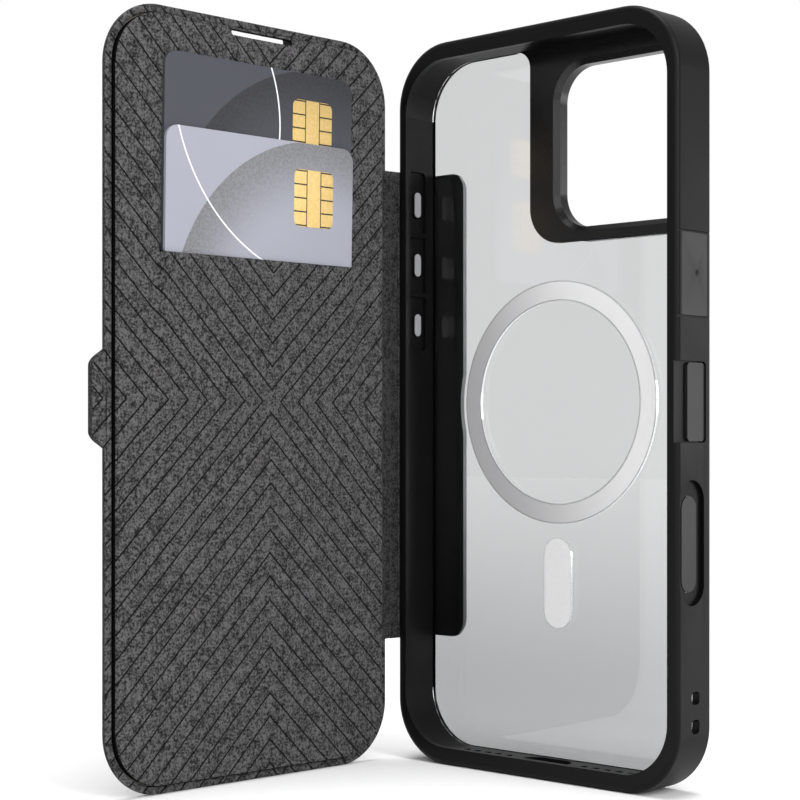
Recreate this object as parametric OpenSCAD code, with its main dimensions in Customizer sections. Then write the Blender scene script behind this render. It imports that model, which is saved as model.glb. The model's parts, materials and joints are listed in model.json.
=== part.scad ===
// Folio wallet case for a large slab phone.
// A black bumper with a clear back holds the phone. A padded fabric cover folds
// round the left side on two creases and carries two cards behind a slit.
// The case stands upright on its bottom edges with the cover open, just past a right angle.
// Case frame: X across the phone, Y from the front lip to the back, Z up from the base.

/* [Phone bay] */
// Width of the phone
phone_w = 77.6; // [70:0.2:80]
// Height of the phone
phone_h = 163; // [150:0.5:170]
// Thickness of the phone
phone_t = 8.25; // [7:0.05:9]
// Radius of the phone's corners
phone_r = 12.9; // [11:0.1:13.5]

/* [Bumper] */
// Thickness of the side walls
side_wall = 1.8; // [1.6:0.1:2.4]
// Thickness of the top and bottom walls
end_wall = 3.2; // [2.6:0.1:4]
// Depth of the case from front lip to back face
case_d = 12.4; // [12:0.1:14]
// How far the front lip reaches over the phone
lip_reach = 0.9; // [0.5:0.1:1.2]
// Thickness of the front lip
lip_t = 1.6; // [1.2:0.1:2]
// Radius of the bumper's outer corners
case_r = 14.5; // [13:0.1:16]
// Rounding of the front edge
front_round = 1.3; // [0.8:0.1:1.6]
// Rounding of the back edge
back_round = 0.9; // [0.5:0.1:1.2]

/* [Back panel] */
// Thickness of the clear back panel
panel_t = 2; // [1.6:0.1:2.4]
// Outer radius of the magnet ring
ring_r = 27.8; // [27:0.1:28.5]
// Inner radius of the magnet ring
ring_inner_r = 23.2; // [22.5:0.1:24]
// Number of magnets in the ring
ring_magnet_count = 16; // [12:1:20]
// Height of the ring's centre above the base
ring_z = 84.7; // [80:0.1:90]
// Width of the camera opening
camera_w = 37.7; // [34:0.1:38]
// Height of the camera opening
camera_h = 36.7; // [34:0.1:38]
// How far the camera guard stands behind the back face
camera_guard = 1.8; // [1:0.1:3]

/* [Cover] */
// Width of the cover
cover_w = 80.9; // [79:0.1:82]
// Thickness of the cover
cover_t = 3.2; // [3:0.1:3.6]
// Radius of the cover's corners
cover_r = 14; // [12:0.5:16]
// Thickness of the outer skin
skin_t = 0.5; // [0.4:0.05:0.5]
// Thickness of the stiffening board
board_t = 0.58; // [0.5:0.01:0.6]
// Width of the flat rim round the lining
edge_w = 1.7; // [1.5:0.05:2]
// How far the padded lining stands proud of the rim
pad_rise = 1.2; // [1.1:0.05:1.25]
// How far past a right angle the cover stands open, in degrees
cover_swing = 2.4; // [0:0.1:5]
// Gap between the closed cover and the front lip
closed_gap = 0.5; // [0.4:0.05:0.8]
// Bottom of the spine and its neck
spine_z0 = 28.7; // [25:0.1:40]
// Top of the spine and its neck
spine_z1 = 140.3; // [130:0.1:145]

/* [Cards] */
// Width of a bank card
card_w = 53.98; // [53.92:0.01:54.03]
// Length of a bank card
card_l = 85.6; // [85.47:0.01:85.72]
// Thickness of a bank card
card_t = 0.76; // [0.68:0.01:0.84]
// Lean of the cards in the pocket, in degrees
card_lean = 1.2; // [1:0.05:1.3]
// Height of the pocket's mouth
mouth_z = 116.4; // [112:0.1:120]
// Height of the front card's top edge
front_card_top = 143.7; // [135:0.1:150]
// Height of the rear card's top edge
rear_card_top = 159.65; // [150:0.05:160]

/* [Hidden] */
$fn = 64;
eps = 0.01;
over = 1;

// Bumper
case_w = phone_w + 2 * side_wall;
case_h = phone_h + 2 * end_wall;
half_w = case_w / 2;
bay_x = phone_w / 2;
mid_z = case_h / 2;
panel_y = case_d - panel_t;
back_y = case_d;
lip_w = phone_w - 2 * lip_reach;
lip_h = phone_h - 2 * lip_reach;
tongue_y0 = panel_y + 0.6;
tongue_y1 = panel_y + 1.4;
tongue_reach = 0.6;

// Spine and creases: the spine lies just off the left wall
spine_gap = 0.2;
spine_t = 1.4;
spine_x1 = -half_w - spine_gap;
spine_x0 = spine_x1 - spine_t;
spine_layer = [0.4, 0.5, 0.5];
spine_y0 = 0.7;
spine_y1 = case_d - 0.4;
flap_bond_t = 0.2;
flap_t = 0.7;
flap_x1 = -29.8;
flap_x0 = spine_x0 + 1.3;
flap_y0 = back_y + flap_bond_t;
flap_y1 = flap_y0 + flap_t;

// Cover, drawn square to the case with its inner face looking along +X, then swung
// about the front crease
cover_x1 = -half_w - 0.4;
cover_x0 = cover_x1 - cover_t;
front_crease_y = -closed_gap;
cover_y1 = -2.49;
cover_y0 = cover_y1 - cover_w;
cover_mid_y = (cover_y0 + cover_y1) / 2;
board_x0 = cover_x0 + skin_t;
foam_x0 = board_x0 + board_t;
lining_t = 1;
pocket_t = 0.5;
lining_x0 = cover_x1 - lining_t;
board_inset = edge_w + 0.1;
pad_inset = edge_w + 0.36;
rim_x = cover_x1 - pad_rise;
cover_round = 1.5;
tab_reach = 3.1;
tab_t = 1.6;

// Cards: mouth_x is where the rear card's back meets the mouth
mouth_sink = 0.8;
mouth_x = cover_x1 - mouth_sink;
mouth_w = 54.6;
card_mid_y = cover_mid_y + 0.62;
card_gap = 0.05;
card_r = 3.18;
pocket_floor_z = 54.5;
chip_w = 11.8;
chip_l = 13;
chip_t = 0.04;

// The whole part stands on the middle of its base. The swung cover's rounded back
// edge reaches furthest along -X, and its tab reaches furthest along -Y
back_edge_x = cover_x1 - cover_round - (cover_t - cover_round) * cos(cover_swing)
    + (cover_y0 + cover_round - front_crease_y) * sin(cover_swing);
tab_end_y = front_crease_y + (cover_y0 - tab_reach - front_crease_y) * cos(cover_swing)
    + pad_rise * sin(cover_swing);
origin_x = -(back_edge_x + half_w) / 2;
origin_y = -(tab_end_y + back_y + camera_guard) / 2;

module in_part_frame() {
    translate([origin_x, origin_y, 0]) children();
}

// Places a piece of the cover, swung open about the front crease
module in_cover_frame() {
    in_part_frame() translate([cover_x1, front_crease_y, 0]) rotate([0, 0, -cover_swing])
        translate([-cover_x1, -front_crease_y, 0]) children();
}

// ---- Shared shapes ----

// A rectangle with rounded corners, centred
module rounded_rect(w, h, r) {
    square([w - 2 * r, h], center = true);
    square([w, h - 2 * r], center = true);
    for (sx = [-1, 1], sy = [-1, 1])
        translate([sx * (w / 2 - r), sy * (h / 2 - r)]) circle(r);
}

// An outline in X and Z, made solid from y0 to y1
module plate(y0, y1) {
    translate([0, y1, 0]) rotate([90, 0, 0]) linear_extrude(y1 - y0) children();
}

// An outline in Y and Z, made solid from x0 to x1
module leaf(x0, x1) {
    translate([x0, 0, 0]) rotate([90, 0, 90]) linear_extrude(x1 - x0) children();
}

// Section of a slab's border: reach outwards, d deep, rounded at both outer edges
module border_section(reach, d, r0, r1) {
    big = max(r0, r1);
    square([reach - big, d]);
    translate([0, r0]) square([reach, d - r0 - r1]);
    translate([reach - big, 0]) square([big - r0 + eps, d / 2]);
    translate([reach - big, r0]) square([big - r1 + eps, d - r0]);
    translate([reach - r0, r0]) intersection() {
        circle(r0);
        translate([-r0, -r0]) square([2 * r0, r0 + eps]);
    }
    translate([reach - r1, d - r1]) circle(r1);
}

// A slab standing on Z = 0 with rounded corners and rounded rims, from Y = 0 to d
module soft_slab(w, h, d, r, r0, r1) {
    for (sx = [0, 1]) mirror([sx, 0, 0]) {
        translate([w / 2 - r, 0, r]) linear_extrude(h - 2 * r) border_section(r, d, r0, r1);
        for (sz = [0, 1]) translate([0, 0, sz * h]) mirror([0, 0, sz])
            translate([w / 2 - r, 0, r]) rotate([-90, 0, 0])
                rotate_extrude(angle = 90) border_section(r, d, r0, r1);
    }
    for (sz = [0, 1]) translate([0, 0, sz * h]) mirror([0, 0, 1 - sz])
        translate([w / 2 - r, 0, -r]) rotate([0, -90, 0])
            linear_extrude(w - 2 * r) border_section(r, d, r0, r1);
    translate([r - w / 2, 0, r]) cube([w - 2 * r, d, h - 2 * r]);
}

// ---- Bumper, back panel and magnets ----

module bay_outline(grow = 0) {
    translate([0, mid_z])
        rounded_rect(phone_w + 2 * grow, phone_h + 2 * grow, phone_r + grow);
}

button_window_y = [2.9, 6.9];
button_windows = [[129.4, 136], [115.2, 121.2], [100.8, 106.7]];
button_bay_z = [97.3, 140.5];
button_bay_depth = 0.8;
button_bay_y1 = 7.9;
button_rib_z = [125.4, 111.1];
button_rib_w = 1;
side_button_z = [102.3, 120];
side_button_y = [1.5, 10.9];
side_groove_w = 0.43;
side_groove_d = 0.35;
control_recess_z = [40.8, 67.5];
control_recess_y = [0.9, 9.7];
control_pad_z = [43.5, 64.2];
control_pad_y = [2.4, 8];
control_depth = 0.9;
landing_z = [75.4, 92.7];
landing_y = [4.1, 10.4];
landing_depth = 1;
landing_margin = 0.8;
strap_slot_z = [[13.6, 16.6], [19.8, 22.55]];
strap_slot_y = [5.2, 8];

// A slot with round ends along Z, cut in a side wall
module wall_stadium(x0, x1, ys, zs) {
    r = (ys[1] - ys[0]) / 2;
    leaf(x0, x1) stadium(ys[0] + r, r, zs[0], zs[1]);
}

module stadium(mid, r, low, high) {
    translate([mid - r, low + r]) square([2 * r, high - low - 2 * r]);
    translate([mid, low + r]) circle(r);
    translate([mid, high - r]) circle(r);
}

// A box with rounded corners in Y and Z, cut in a side wall
module wall_box(x0, x1, ys, zs, r) {
    leaf(x0, x1) translate([(ys[0] + ys[1]) / 2, (zs[0] + zs[1]) / 2])
        rounded_rect(ys[1] - ys[0], zs[1] - zs[0], r);
}

module left_wall_cuts() {
    wall_box(-bay_x - button_bay_depth, -bay_x + over, [lip_t, button_bay_y1], button_bay_z, 1);
    for (z = button_windows) wall_box(-half_w - over, -bay_x, button_window_y, z, 1.2);
}

module left_wall_ribs() {
    for (z = button_rib_z)
        translate([-bay_x - button_bay_depth - eps, lip_t, z - button_rib_w / 2])
            cube([button_bay_depth, button_bay_y1 - lip_t + eps, button_rib_w]);
}

module right_wall_cuts() {
    wall_box(bay_x - over, half_w + over, side_button_y, side_button_z, 0.8);
    for (z = [side_button_z[0] - side_groove_w, side_button_z[1]])
        translate([half_w - side_groove_d, -over, z])
            cube([over, case_d + 2 * over, side_groove_w]);
    wall_stadium(half_w - control_depth, half_w + over, control_recess_y, control_recess_z);
    wall_stadium(bay_x - over, half_w, control_pad_y, control_pad_z);
    wall_box(half_w - landing_depth, half_w + over, [-4, landing_y[1]], landing_z, 1);
    for (z = strap_slot_z) wall_box(bay_x - over, half_w + over, strap_slot_y, z, 0.9);
}

port_w = 13;
port_d = 6.6;
port_r = 3.2;
hole_r = 0.9;
hole_pitch = 3.2;
first_hole = 4.5;
holes_per_side = 5;

module bottom_wall_cuts() {
    port_y = panel_y - phone_t / 2;
    translate([0, port_y, -over]) linear_extrude(end_wall + 2 * over)
        rounded_rect(port_w, port_d, port_r);
    for (side = [-1, 1], n = [0:holes_per_side - 1])
        translate([side * (port_w / 2 + first_hole + n * hole_pitch), port_y, -over])
            cylinder(r = hole_r, h = end_wall + 2 * over);
}

module bumper_frame() {
    color("#26262a") in_part_frame() {
        difference() {
            soft_slab(case_w, case_h, case_d, case_r, front_round, back_round);
            plate(-over, lip_t + eps) translate([0, mid_z])
                rounded_rect(lip_w, lip_h, phone_r - lip_reach);
            plate(lip_t, back_y + over) bay_outline();
            plate(tongue_y0, tongue_y1) bay_outline(tongue_reach);
            left_wall_cuts();
            right_wall_cuts();
            bottom_wall_cuts();
        }
        left_wall_ribs();
    }
}

camera_x0 = -0.1;
camera_z0 = 124.4;
camera_r = 8;
surround_x0 = -8.1;
surround_z0 = 121.1;
surround_r = 8.5;
surround_fillet = 4;

// A concave corner fillet: the square corner at the origin, less a circle
module fillet_corner(r) {
    difference() {
        square(r);
        translate([r, r]) circle(r);
    }
}

// Outline of the camera surround, which fills the bay's upper right corner
module surround_outline() {
    x0 = surround_x0;
    z0 = surround_z0;
    r = surround_r;
    reach = phone_w;
    top = mid_z + phone_h / 2;
    intersection() {
        union() {
            translate([x0 + r, z0]) square(reach);
            translate([x0, z0 + r]) square(reach);
            translate([x0 + r, z0 + r]) circle(r);
            translate([x0, top]) rotate(180) fillet_corner(surround_fillet);
            translate([bay_x, z0]) rotate(180) fillet_corner(surround_fillet);
        }
        bay_outline();
    }
}

module camera_hole_outline(grow) {
    translate([camera_x0 + camera_w / 2, camera_z0 + camera_h / 2])
        rounded_rect(camera_w + 2 * grow, camera_h + 2 * grow, camera_r + grow);
}

camera_flare = 1.2;
guard_w = 3.4;

module camera_surround() {
    color("#1c1c20") in_part_frame() difference() {
        union() {
            plate(panel_y, back_y) surround_outline();
            plate(back_y - eps, back_y + camera_guard) intersection() {
                camera_hole_outline(guard_w);
                bay_outline();
            }
        }
        plate(panel_y - over, back_y + camera_guard + over) camera_hole_outline(0);
        hull() {
            plate(panel_y - eps, panel_y) camera_hole_outline(camera_flare);
            plate(panel_y + camera_flare, panel_y + camera_flare + eps)
                camera_hole_outline(0);
        }
    }
}

module ring_outline(r0, r1) {
    translate([0, ring_z]) difference() {
        circle(r1);
        circle(r0);
    }
}

bar_w = 7.8;
bar_z = [33, 53.6];
ring_pocket = 1.1;
film_t = 0.4;
film_fit = 0.05;
magnet_gap = 2.4;
magnet_inset = 0.5;

module bar_outline(shrink = 0) {
    stadium(0, bar_w / 2 - shrink, bar_z[0] + shrink, bar_z[1] - shrink);
}

module back_panel() {
    color("#d9dde2") in_part_frame() difference() {
        union() {
            plate(panel_y, back_y) bay_outline();
            plate(tongue_y0, tongue_y1) bay_outline(tongue_reach);
        }
        plate(panel_y - over, back_y + over) surround_outline();
        plate(panel_y - over, back_y + over) intersection() {
            translate([surround_x0 + surround_r, surround_z0 + surround_r]) square(phone_w);
            bay_outline(over);
        }
        plate(panel_y - over, panel_y + ring_pocket) ring_outline(ring_inner_r, ring_r);
        plate(panel_y - over, panel_y + ring_pocket) bar_outline();
    }
}

module ring_magnets() {
    step = 360 / ring_magnet_count;
    band_w = ring_r - ring_inner_r - 2 * magnet_inset;
    magnet_t = ring_pocket - film_t - film_fit;
    color("#8d9095") in_part_frame()
        for (n = [0:ring_magnet_count - 1])
            translate([0, panel_y + film_t, ring_z]) rotate([-90, n * step, 0])
                rotate_extrude(angle = step - magnet_gap)
                    translate([ring_inner_r + magnet_inset, 0]) square([band_w, magnet_t]);
}

module ring_cover() {
    color("#e2e4e6") in_part_frame()
        plate(panel_y, panel_y + film_t)
            ring_outline(ring_inner_r + film_fit, ring_r - film_fit);
}

module alignment_magnet() {
    color("#8d9095") in_part_frame()
        plate(panel_y + film_t, panel_y + ring_pocket - film_fit) bar_outline(magnet_inset);
}

module alignment_cover() {
    color("#e2e4e6") in_part_frame() plate(panel_y, panel_y + film_t) bar_outline(film_fit);
}

// ---- Buttons ----

button_fit = 0.15;
key_x0 = -half_w + 0.1;
key_plate_t = 0.4;
key_pad_x1 = -bay_x - 0.3;
key_pad_y = [4.5, 6.6];

// A key in the left wall: a thin plate that fills its window, and a raised pad that
// meets the phone's own button
module side_key(zs) {
    low = zs[0] + button_fit;
    high = zs[1] - button_fit;
    wall_box(key_x0, key_x0 + key_plate_t,
        [button_window_y[0] + button_fit, button_window_y[1] - button_fit], [low, high], 1.05);
    wall_stadium(key_x0, key_pad_x1, key_pad_y, [low + button_fit, high - button_fit]);
}

module action_button() {
    color("#96989b") in_part_frame() side_key(button_windows[0]);
}

module volume_up_button() {
    color("#96989b") in_part_frame() side_key(button_windows[1]);
}

module volume_down_button() {
    color("#96989b") in_part_frame() side_key(button_windows[2]);
}

side_button_t = 1.2;
dimple_r = 0.75;
dimple_depth = 0.4;
dimple_at = [7.1, 111.5];

module side_button() {
    fit = 0.08;
    ys = [side_button_y[0] + fit, side_button_y[1] - fit];
    zs = [side_button_z[0] + fit, side_button_z[1] - fit];
    color("#232327") in_part_frame() difference() {
        wall_box(half_w - side_button_t, half_w, ys, zs, 0.6);
        translate([half_w + dimple_r - dimple_depth, dimple_at[0], dimple_at[1]])
            sphere(r = dimple_r);
    }
}

control_pad_x = [half_w - 1.45, half_w - 0.75];

module camera_control_pad() {
    fit = 0.15;
    ys = [control_pad_y[0] + fit, control_pad_y[1] - fit];
    zs = [control_pad_z[0] + fit, control_pad_z[1] - fit];
    color("#2e2e32") in_part_frame() wall_stadium(control_pad_x[0], control_pad_x[1], ys, zs);
}

keeper_t = 0.3;
pad_face_x = half_w - 0.35;
pad_fit = 0.3;

// The keeper's outline, let into the back of the closure pad
module keeper_box(x0, x1) {
    wall_box(x0, x1, [landing_y[0] + landing_margin, landing_y[1] - landing_margin],
        [landing_z[0] + pad_fit + landing_margin, landing_z[1] - pad_fit - landing_margin], 0.6);
}

module closure_keeper() {
    floor_x = half_w - landing_depth;
    color("#b0b2b5") in_part_frame() keeper_box(floor_x, floor_x + keeper_t);
}

module closure_pad() {
    floor_x = half_w - landing_depth;
    color("#37373b") in_part_frame() difference() {
        wall_box(floor_x, pad_face_x, landing_y,
            [landing_z[0] + pad_fit, landing_z[1] - pad_fit], 1);
        keeper_box(floor_x - over, floor_x + keeper_t);
    }
}

// ---- Back flap, spine and creases ----

flap_corner = 4;
ring_clear_r = 30.6;
bond_reach = 1;
bond_margin = 3;

// A strip from x0 to x1 whose right corners are rounded
module strip_outline(x0, x1, z0, z1, r) {
    translate([x0, z0]) square([x1 - x0 - r, z1 - z0]);
    translate([x1 - r - eps, z0 + r]) square([r + eps, z1 - z0 - 2 * r]);
    for (z = [z0 + r, z1 - r]) translate([x1 - r, z]) circle(r);
}

module back_flap() {
    color("#1b1b1d") in_part_frame() plate(flap_y0, flap_y1) difference() {
        strip_outline(flap_x0, flap_x1, spine_z0, spine_z1, flap_corner);
        translate([0, ring_z]) circle(ring_clear_r);
    }
}

module flap_adhesive() {
    color("#e8e8ea") in_part_frame() plate(back_y, flap_y0) difference() {
        strip_outline(-bay_x, flap_x1 + bond_reach, spine_z0 + bond_margin, spine_z1 - bond_margin,
            flap_corner);
        translate([0, ring_z]) circle(ring_clear_r - bond_reach);
    }
}

module back_crease() {
    crease_r = flap_y1 - spine_y1;
    color("#1b1b1d") in_part_frame()
        translate([flap_x0, spine_y1, spine_z0]) rotate([0, 0, 90])
            rotate_extrude(angle = 90)
                translate([crease_r - flap_t, 0]) square([flap_t, spine_z1 - spine_z0]);
}

module spine_layer_plate(x0, x1, inset) {
    translate([x0, spine_y0 + inset, spine_z0 + inset])
        cube([x1 - x0, spine_y1 - spine_y0 - 2 * inset, spine_z1 - spine_z0 - 2 * inset]);
}

module spine_lining() {
    color("#3a3a3d") in_part_frame()
        spine_layer_plate(spine_x1 - spine_layer[0], spine_x1, 0);
}

module spine_stiffener() {
    color("#8a7f6c") in_part_frame()
        spine_layer_plate(spine_x0 + spine_layer[2], spine_x1 - spine_layer[0], 0.8);
}

module spine_skin() {
    color("#232326") in_part_frame()
        spine_layer_plate(spine_x0, spine_x0 + spine_layer[2], 0);
}

neck_y0 = -1.8;
neck_t = 1.4;
crease_x0 = spine_x0 + 0.2;
crease_t = 0.8;
crease_y1 = spine_y0 - 0.1;

module front_crease() {
    color("#232326") in_cover_frame()
        translate([crease_x0, neck_y0, spine_z0])
            cube([crease_t, crease_y1 - neck_y0, spine_z1 - spine_z0]);
}

// ---- Cover ----

module cover_outline(inset) {
    translate([cover_mid_y, mid_z])
        rounded_rect(cover_w - 2 * inset, case_h - 2 * inset, cover_r - inset);
}

slot_w = 17.5;
slot_mid_y = cover_mid_y + 1.3;
slot_z0 = 165.6;
lining_slot_h = 1.3;
body_slot_h = 2;
neck_lap = 1.6;

// Earpiece slot: the layers behind the lining are cut taller than the lining is
module earpiece_slot(h) {
    leaf(cover_x0 - over, cover_x1 + over) translate([slot_mid_y, slot_z0 + h / 2])
        rounded_rect(slot_w, h, 0.5);
}

// Neck that joins the cover to the front crease, lapped onto the rim
module neck() {
    leaf(cover_x1 - neck_t, cover_x1) translate([cover_y1 - neck_lap, spine_z0])
        square([neck_y0 - cover_y1 + neck_lap, spine_z1 - spine_z0]);
}

module cover_skin() {
    color("#4a494b") in_cover_frame() difference() {
        union() {
            translate([cover_x0, cover_mid_y, 0]) rotate([0, 0, -90])
                soft_slab(cover_w, case_h, cover_t - pad_rise, cover_r, cover_round, 0.2);
            neck();
        }
        leaf(board_x0, cover_x1 + over) cover_outline(edge_w);
        earpiece_slot(body_slot_h);
    }
}

module cover_board() {
    color("#9a8f7d") in_cover_frame() difference() {
        leaf(board_x0, foam_x0) cover_outline(board_inset);
        earpiece_slot(body_slot_h);
    }
}

// The hollow behind the pocket panel, as a box that leans with the cards
module card_hollow(front_depth) {
    translate([mouth_x, card_mid_y - mouth_w / 2, mouth_z]) rotate([0, card_lean, 0])
        translate([-0.02, 0, pocket_floor_z - mouth_z])
            cube([front_depth, mouth_w, 2 * (mouth_z - pocket_floor_z)]);
}

module cover_foam() {
    color("#6f6f72") in_cover_frame() difference() {
        union() {
            leaf(foam_x0, lining_x0) cover_outline(pad_inset);
            leaf(foam_x0, cover_x1 - pocket_t) intersection() {
                cover_outline(pad_inset);
                translate([cover_y0, 0]) square([cover_w, mouth_z]);
            }
        }
        leaf(foam_x0 - over, cover_x1) translate([card_mid_y - mouth_w / 2, pocket_floor_z])
            square([mouth_w, mouth_z - pocket_floor_z]);
        closure_magnet_shape(foam_x0 - over, closure_t + over + closure_fit,
            closure_r + closure_fit);
        earpiece_slot(body_slot_h);
    }
}

// Fabric above the pocket's mouth, pressed in under the cards
module cover_lining() {
    color("#47464a") in_cover_frame() difference() {
        leaf(lining_x0, cover_x1) intersection() {
            cover_outline(pad_inset);
            translate([cover_y0, mouth_z]) square([cover_w, mid_z]);
        }
        card_hollow(cover_t);
        earpiece_slot(lining_slot_h);
    }
}

stack_t = 2 * card_t + card_gap + 0.1;
pocket_side = 5;
pocket_seam = 4;
pocket_slope = 6;

// The pocket's raised front, rising from nothing at its floor to the mouth
module pocket_bulge(half, lift, floor_z, top_z) {
    panel_x0 = cover_x1 - pocket_t;
    hull() {
        translate([panel_x0, card_mid_y - half, floor_z])
            cube([eps, 2 * half, top_z - floor_z]);
        translate([panel_x0, card_mid_y - half + pocket_side, top_z - eps])
            cube([pocket_t + lift, 2 * (half - pocket_side), eps]);
        translate([panel_x0, card_mid_y - half + pocket_side, floor_z + pocket_slope])
            cube([pocket_t + eps, 2 * (half - pocket_side), eps]);
    }
}

module pocket_panel() {
    lift = stack_t - mouth_sink + pocket_t;
    top_z = mouth_z - 2 * eps;
    color("#47464a") in_cover_frame() difference() {
        union() {
            leaf(cover_x1 - pocket_t, cover_x1) intersection() {
                cover_outline(pad_inset);
                translate([cover_y0, 0]) square([cover_w, top_z]);
            }
            pocket_bulge(mouth_w / 2 + pocket_side, lift, pocket_floor_z - pocket_seam, top_z);
        }
        card_hollow(stack_t);
    }
}

closure_r = 3;
closure_t = 1;
closure_fit = 0.05;
closure_y = cover_y0 + 6;
closure_pitch = 9;

// Two discs near the free edge, level with the closure pad
module closure_magnet_shape(x0, t, r) {
    for (side = [-0.5, 0.5]) translate([x0, closure_y, mid_z + side * closure_pitch])
        rotate([0, 90, 0]) cylinder(r = r, h = t);
}

module closure_magnets() {
    color("#a9abae") in_cover_frame() closure_magnet_shape(foam_x0, closure_t, closure_r);
}

tab_z = [75.2, 94];
tab_r = 1.8;
tab_fillet = 2;

// Finger tab on the free edge, with a flared base
module closure_tab() {
    tab_w = tab_z[1] - tab_z[0];
    color("#4a494b") in_cover_frame() leaf(rim_x - tab_t, rim_x) {
        intersection() {
            translate([cover_y0, (tab_z[0] + tab_z[1]) / 2]) rounded_rect(2 * tab_reach, tab_w, tab_r);
            translate([cover_y0 - tab_reach, tab_z[0]]) square([tab_reach, tab_w]);
        }
        translate([cover_y0, tab_z[1]]) rotate(90) fillet_corner(tab_fillet);
        translate([cover_y0, tab_z[0]]) rotate(180) fillet_corner(tab_fillet);
    }
}

// ---- Cards ----

// A card in the pocket, its back offset from the mouth plane, its top edge at top_z
module card(offset, top_z) {
    rise = (top_z - mouth_z) / cos(card_lean);
    translate([mouth_x, card_mid_y, mouth_z]) rotate([0, card_lean, 0])
        leaf(offset, offset + card_t)
            translate([0, rise - card_l / 2]) rounded_rect(card_w, card_l, card_r);
}

chip_side = 12;
chip_drop = 12.5;
chip_r = 1.6;

// Contact chip let into the card's face near its top end
module card_chip(offset, top_z) {
    rise = (top_z - mouth_z) / cos(card_lean);
    translate([mouth_x, card_mid_y, mouth_z]) rotate([0, card_lean, 0])
        leaf(offset + card_t, offset + card_t + chip_t)
            translate([card_w / 2 - chip_side, rise - chip_drop])
                rounded_rect(chip_w, chip_l, chip_r);
}

rear_offset = 0.03;
front_offset = rear_offset + card_t + card_gap;

module card_front() {
    color("#b8bbc6") in_cover_frame() card(front_offset, front_card_top);
}

module card_rear() {
    color("#5f626a") in_cover_frame() card(rear_offset, rear_card_top);
}

module card_front_chip() {
    color("#d8b45a") in_cover_frame() card_chip(front_offset, front_card_top);
}

module card_rear_chip() {
    color("#d8b45a") in_cover_frame() card_chip(rear_offset, rear_card_top);
}

bumper_frame();
back_panel();
camera_surround();
ring_magnets();
ring_cover();
alignment_magnet();
alignment_cover();
action_button();
volume_up_button();
volume_down_button();
side_button();
camera_control_pad();
closure_pad();
closure_keeper();
back_flap();
flap_adhesive();
back_crease();
spine_skin();
spine_stiffener();
spine_lining();
front_crease();
cover_skin();
cover_board();
cover_foam();
cover_lining();
pocket_panel();
closure_tab();
closure_magnets();
card_front();
card_rear();
card_front_chip();
card_rear_chip();
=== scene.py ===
"""A folio wallet case for a large slab phone, standing open on its bottom edges.

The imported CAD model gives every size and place. This script adds the fabric cover, its
creases and flap, and the finish of every part. The cover stands a little past a right
angle, so its pieces are built square to the case and then swung about the front crease.
"""
import json
import math

import bmesh
import bpy
import numpy as np
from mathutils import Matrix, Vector
from mathutils.geometry import delaunay_2d_cdt


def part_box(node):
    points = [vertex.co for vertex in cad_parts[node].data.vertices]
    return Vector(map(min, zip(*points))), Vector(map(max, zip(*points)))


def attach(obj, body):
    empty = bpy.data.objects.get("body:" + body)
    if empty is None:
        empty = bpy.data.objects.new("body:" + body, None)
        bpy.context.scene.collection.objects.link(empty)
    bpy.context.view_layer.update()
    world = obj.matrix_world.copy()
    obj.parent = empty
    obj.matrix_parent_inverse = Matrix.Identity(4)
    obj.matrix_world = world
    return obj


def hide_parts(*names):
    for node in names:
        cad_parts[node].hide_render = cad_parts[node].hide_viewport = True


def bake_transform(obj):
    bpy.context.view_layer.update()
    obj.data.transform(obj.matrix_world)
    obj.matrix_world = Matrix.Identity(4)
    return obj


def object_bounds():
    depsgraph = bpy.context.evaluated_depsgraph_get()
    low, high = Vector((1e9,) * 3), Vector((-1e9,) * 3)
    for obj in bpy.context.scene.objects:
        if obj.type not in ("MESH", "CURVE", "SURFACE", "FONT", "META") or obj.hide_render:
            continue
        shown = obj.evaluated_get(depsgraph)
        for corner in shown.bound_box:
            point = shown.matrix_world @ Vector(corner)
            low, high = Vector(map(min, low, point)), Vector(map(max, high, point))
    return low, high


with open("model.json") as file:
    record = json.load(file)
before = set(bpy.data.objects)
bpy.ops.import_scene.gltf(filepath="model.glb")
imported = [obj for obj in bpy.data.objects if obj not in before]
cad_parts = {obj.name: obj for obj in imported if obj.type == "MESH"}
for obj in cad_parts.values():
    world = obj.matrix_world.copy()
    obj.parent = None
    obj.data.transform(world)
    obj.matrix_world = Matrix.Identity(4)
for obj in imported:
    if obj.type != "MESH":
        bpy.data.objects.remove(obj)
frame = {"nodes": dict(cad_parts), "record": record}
cad_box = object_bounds()
NODES = frame["nodes"]
MM = 0.001

# ---- Sizes worked out from the frame ----

JOINTS = {j["name"]: j for j in frame["record"]["behaviour"]["joints"]}
FOLD_X, FOLD_Y = JOINTS["cover_fold"]["pos_m"][:2]
SWING = math.radians(JOINTS["cover_fold"]["range_deg"][1] - 90)


def swung(points, angle):
    """Points turned about the front crease by an angle."""
    points = np.array(points, float)
    x, y = points[:, 0] - FOLD_X, points[:, 1] - FOLD_Y
    turned = points.copy()
    turned[:, 0] = FOLD_X + x * math.cos(angle) - y * math.sin(angle)
    turned[:, 1] = FOLD_Y + x * math.sin(angle) + y * math.cos(angle)
    return turned


def square_to_case_shift():
    """The shift that makes a turn about the origin a turn about the front crease."""
    turned = swung([(0, 0, 0)], SWING)[0]
    return tuple(float(v) for v in turned)


def cover_box(node):
    """A cover node's lowest and highest corners once it is turned square to the case."""
    mesh = NODES[node].data
    points = np.empty(len(mesh.vertices) * 3)
    mesh.vertices.foreach_get("co", points)
    square = swung(points.reshape(-1, 3), SWING)
    return Vector(square.min(axis=0)), Vector(square.max(axis=0))


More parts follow.
